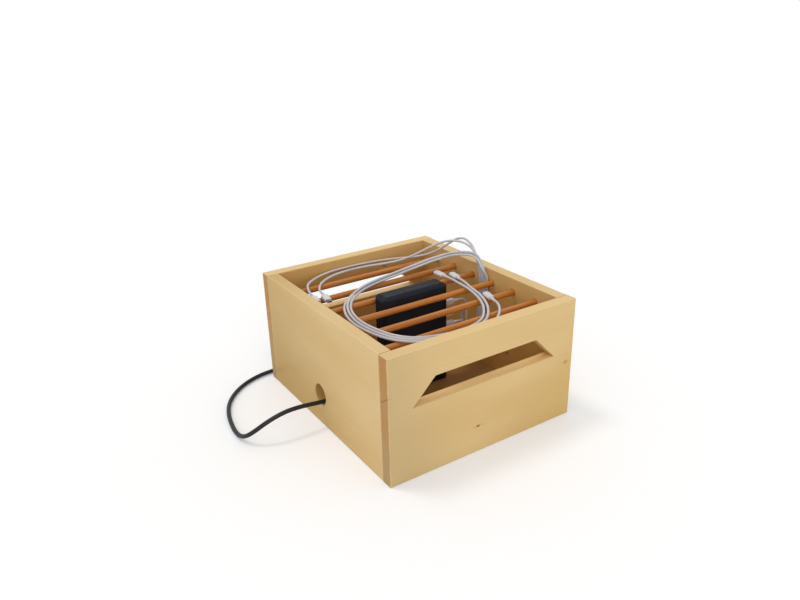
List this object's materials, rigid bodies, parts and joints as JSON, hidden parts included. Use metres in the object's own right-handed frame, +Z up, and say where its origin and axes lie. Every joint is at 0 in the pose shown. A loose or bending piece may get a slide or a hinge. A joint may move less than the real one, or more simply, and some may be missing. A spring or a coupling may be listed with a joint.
{
  "type": "laptop charging box",
  "caption": "Open wooden box whose round rails hold laptops upright, with hand slots, a charger on its floor, charging leads over the rails and a mains lead.",
  "frame": {"origin": "on the surface that the box stands on, under the middle of the box", "axes": "+X along the front to the right, +Y from the front to the back, +Z up"},
  "size_m": [0.4692, 0.5098, 0.2394],
  "materials": {
    "board_wood": "oiled, fine straight grain",
    "rail_wood": "turned and oiled",
    "panel_wood": "sanded plywood",
    "charger_plastic": "fine moulded texture",
    "screw_metal": "plated",
    "circuit_laminate": "solder mask",
    "winding_tape": "tape",
    "capacitor_sleeve": "shrunk sleeve",
    "plug_metal": "plated",
    "lead_jacket": "satin",
    "plug_plastic": "satin moulded",
    "mains_jacket": "satin",
    "mains_plastic": "fine moulded texture",
    "tie_strap": "woven"
  },
  "bodies": {
    "root": {"front_panel": "board_wood", "back_panel": "board_wood", "left_side": "board_wood", "right_side": "board_wood", "floor_panel": "panel_wood", "corner_pins": "rail_wood", "charger_front_cover": "charger_plastic", "charger_rear_cover": "charger_plastic", "charger_screws": "screw_metal", "circuit_board": "circuit_laminate", "transformer": "winding_tape", "capacitor": "capacitor_sleeve", "usb_ports": "plug_metal", "mains_inlet": "mains_plastic", "mains_connector": "mains_plastic", "mains_lead": "mains_jacket", "mains_coil": "mains_jacket", "mains_lead_end": "mains_jacket", "coil_tie": "tie_strap", "mains_plug": "mains_plastic", "mains_plug_pins": "plug_metal", "rail_1": "rail_wood", "rail_2": "rail_wood", "rail_3": "rail_wood", "rail_4": "rail_wood", "rail_5": "rail_wood", "rail_6": "rail_wood", "lead_1": "lead_jacket", "charger_plug_1": "plug_plastic", "laptop_plug_1": "plug_plastic", "lead_2": "lead_jacket", "charger_plug_2": "plug_plastic", "laptop_plug_2": "plug_plastic", "lead_3": "lead_jacket", "charger_plug_3": "plug_plastic", "laptop_plug_3": "plug_plastic", "lead_4": "lead_jacket", "charger_plug_4": "plug_plastic", "laptop_plug_4": "plug_plastic", "lead_5": "lead_jacket", "charger_plug_5": "plug_plastic", "laptop_plug_5": "plug_plastic"}
  },
  "joints": []
}
